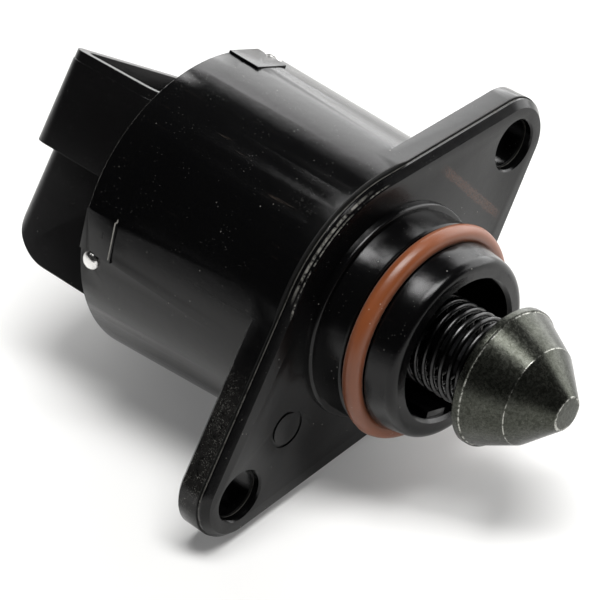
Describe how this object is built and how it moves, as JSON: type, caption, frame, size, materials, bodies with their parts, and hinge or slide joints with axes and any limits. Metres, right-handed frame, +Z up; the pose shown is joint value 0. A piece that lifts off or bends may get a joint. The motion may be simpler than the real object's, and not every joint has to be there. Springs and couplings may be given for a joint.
{
  "type": "idle air control valve",
  "caption": "Stepper idle air control valve: black moulded two-ear body, sealing ring on a stepped spigot, tapered pintle on a spring and lead screw, side-facing plug socket.",
  "frame": {"origin": "centre of the two flange bolt holes on the flange's front sealing face", "axes": "+X along the valve's axis towards the pintle tip; +Z up as the valve lies on a bench, square to the lower ear's flank; +Y to the upper ear's side. The valve's own axis is parallel to X and passes 1.07 mm to +Y and 0.54 mm above the origin."},
  "size_m": [0.0686, 0.053, 0.036],
  "materials": {
    "housing_plastic": "black glass-filled nylon, moulded, semi-gloss",
    "cap_plastic": "black glass-filled nylon, moulded, satin",
    "seal_rubber": "terracotta silicone rubber, soft sheen",
    "cap_seal_rubber": "black nitrile rubber",
    "pin_steel": "bright steel with domed heads",
    "terminal_metal": "tinned contact metal",
    "stator_steel": "drawn zinc-plated steel",
    "bobbin_plastic": "natural nylon",
    "copper_winding": "enamelled copper wire",
    "bearing_steel": "ground bearing steel",
    "ball_steel": "polished steel balls",
    "cage_brass": "pressed brass",
    "bush_bronze": "sintered bronze",
    "washer_steel": "hardened steel shim",
    "magnet_ferrite": "sintered ferrite, dark grey",
    "hub_plastic": "moulded bearing plastic, dark grey",
    "screw_steel": "rolled stainless steel",
    "pintle_metal": "turned steel, dark with bright worn edges",
    "spring_steel": "dark oiled spring steel",
    "guide_plastic": "natural bearing plastic"
  },
  "bodies": {
    "valve_body": {"housing": "housing_plastic", "o_ring": "seal_rubber", "connector_cap": "cap_plastic", "cap_seal": "cap_seal_rubber", "cap_pins": "pin_steel", "terminal_1": "terminal_metal", "terminal_2": "terminal_metal", "terminal_3": "terminal_metal", "terminal_4": "terminal_metal", "front_outer_cup": "stator_steel", "front_inner_cup": "stator_steel", "rear_inner_cup": "stator_steel", "rear_outer_cup": "stator_steel", "front_bobbin": "bobbin_plastic", "rear_bobbin": "bobbin_plastic", "front_coil": "copper_winding", "rear_coil": "copper_winding", "bearing_outer_race": "bearing_steel", "rear_bush": "bush_bronze", "thrust_washer": "washer_steel", "guide_bush": "guide_plastic", "spring": "spring_steel"},
    "rotor": {"rotor_magnet": "magnet_ferrite", "rotor_hub": "hub_plastic", "bearing_inner_race": "bearing_steel"},
    "ball_cage": {"bearing_balls": "ball_steel", "bearing_cage": "cage_brass"},
    "pintle_shaft": {"lead_screw": "screw_steel", "pintle": "pintle_metal"}
  },
  "joints": [
    {"name": "rotor_spin", "type": "hinge", "parent": "valve_body", "child": "rotor", "pos_m": [-0.012, 0.00107, 0.00054], "axis": [1, 0, 0], "range_deg": [-991.2, 450.9]},
    {"name": "cage_spin", "type": "hinge", "parent": "valve_body", "child": "ball_cage", "pos_m": [-0.001, 0.00107, 0.00054], "axis": [1, 0, 0], "range_deg": [-402.5, 183.5]},
    {"name": "pintle_slide", "type": "slide", "parent": "valve_body", "child": "pintle_shaft", "axis": [1, 0, 0], "range_m": [-0.0055, 0.0025], "deforming": ["spring"]}
  ],
  "couplings": [
    {"joint": "rotor_spin", "follows": "pintle_slide", "rad_per_m": 3141.6},
    {"joint": "cage_spin", "follows": "pintle_slide", "rad_per_m": 1274.4}
  ]
}
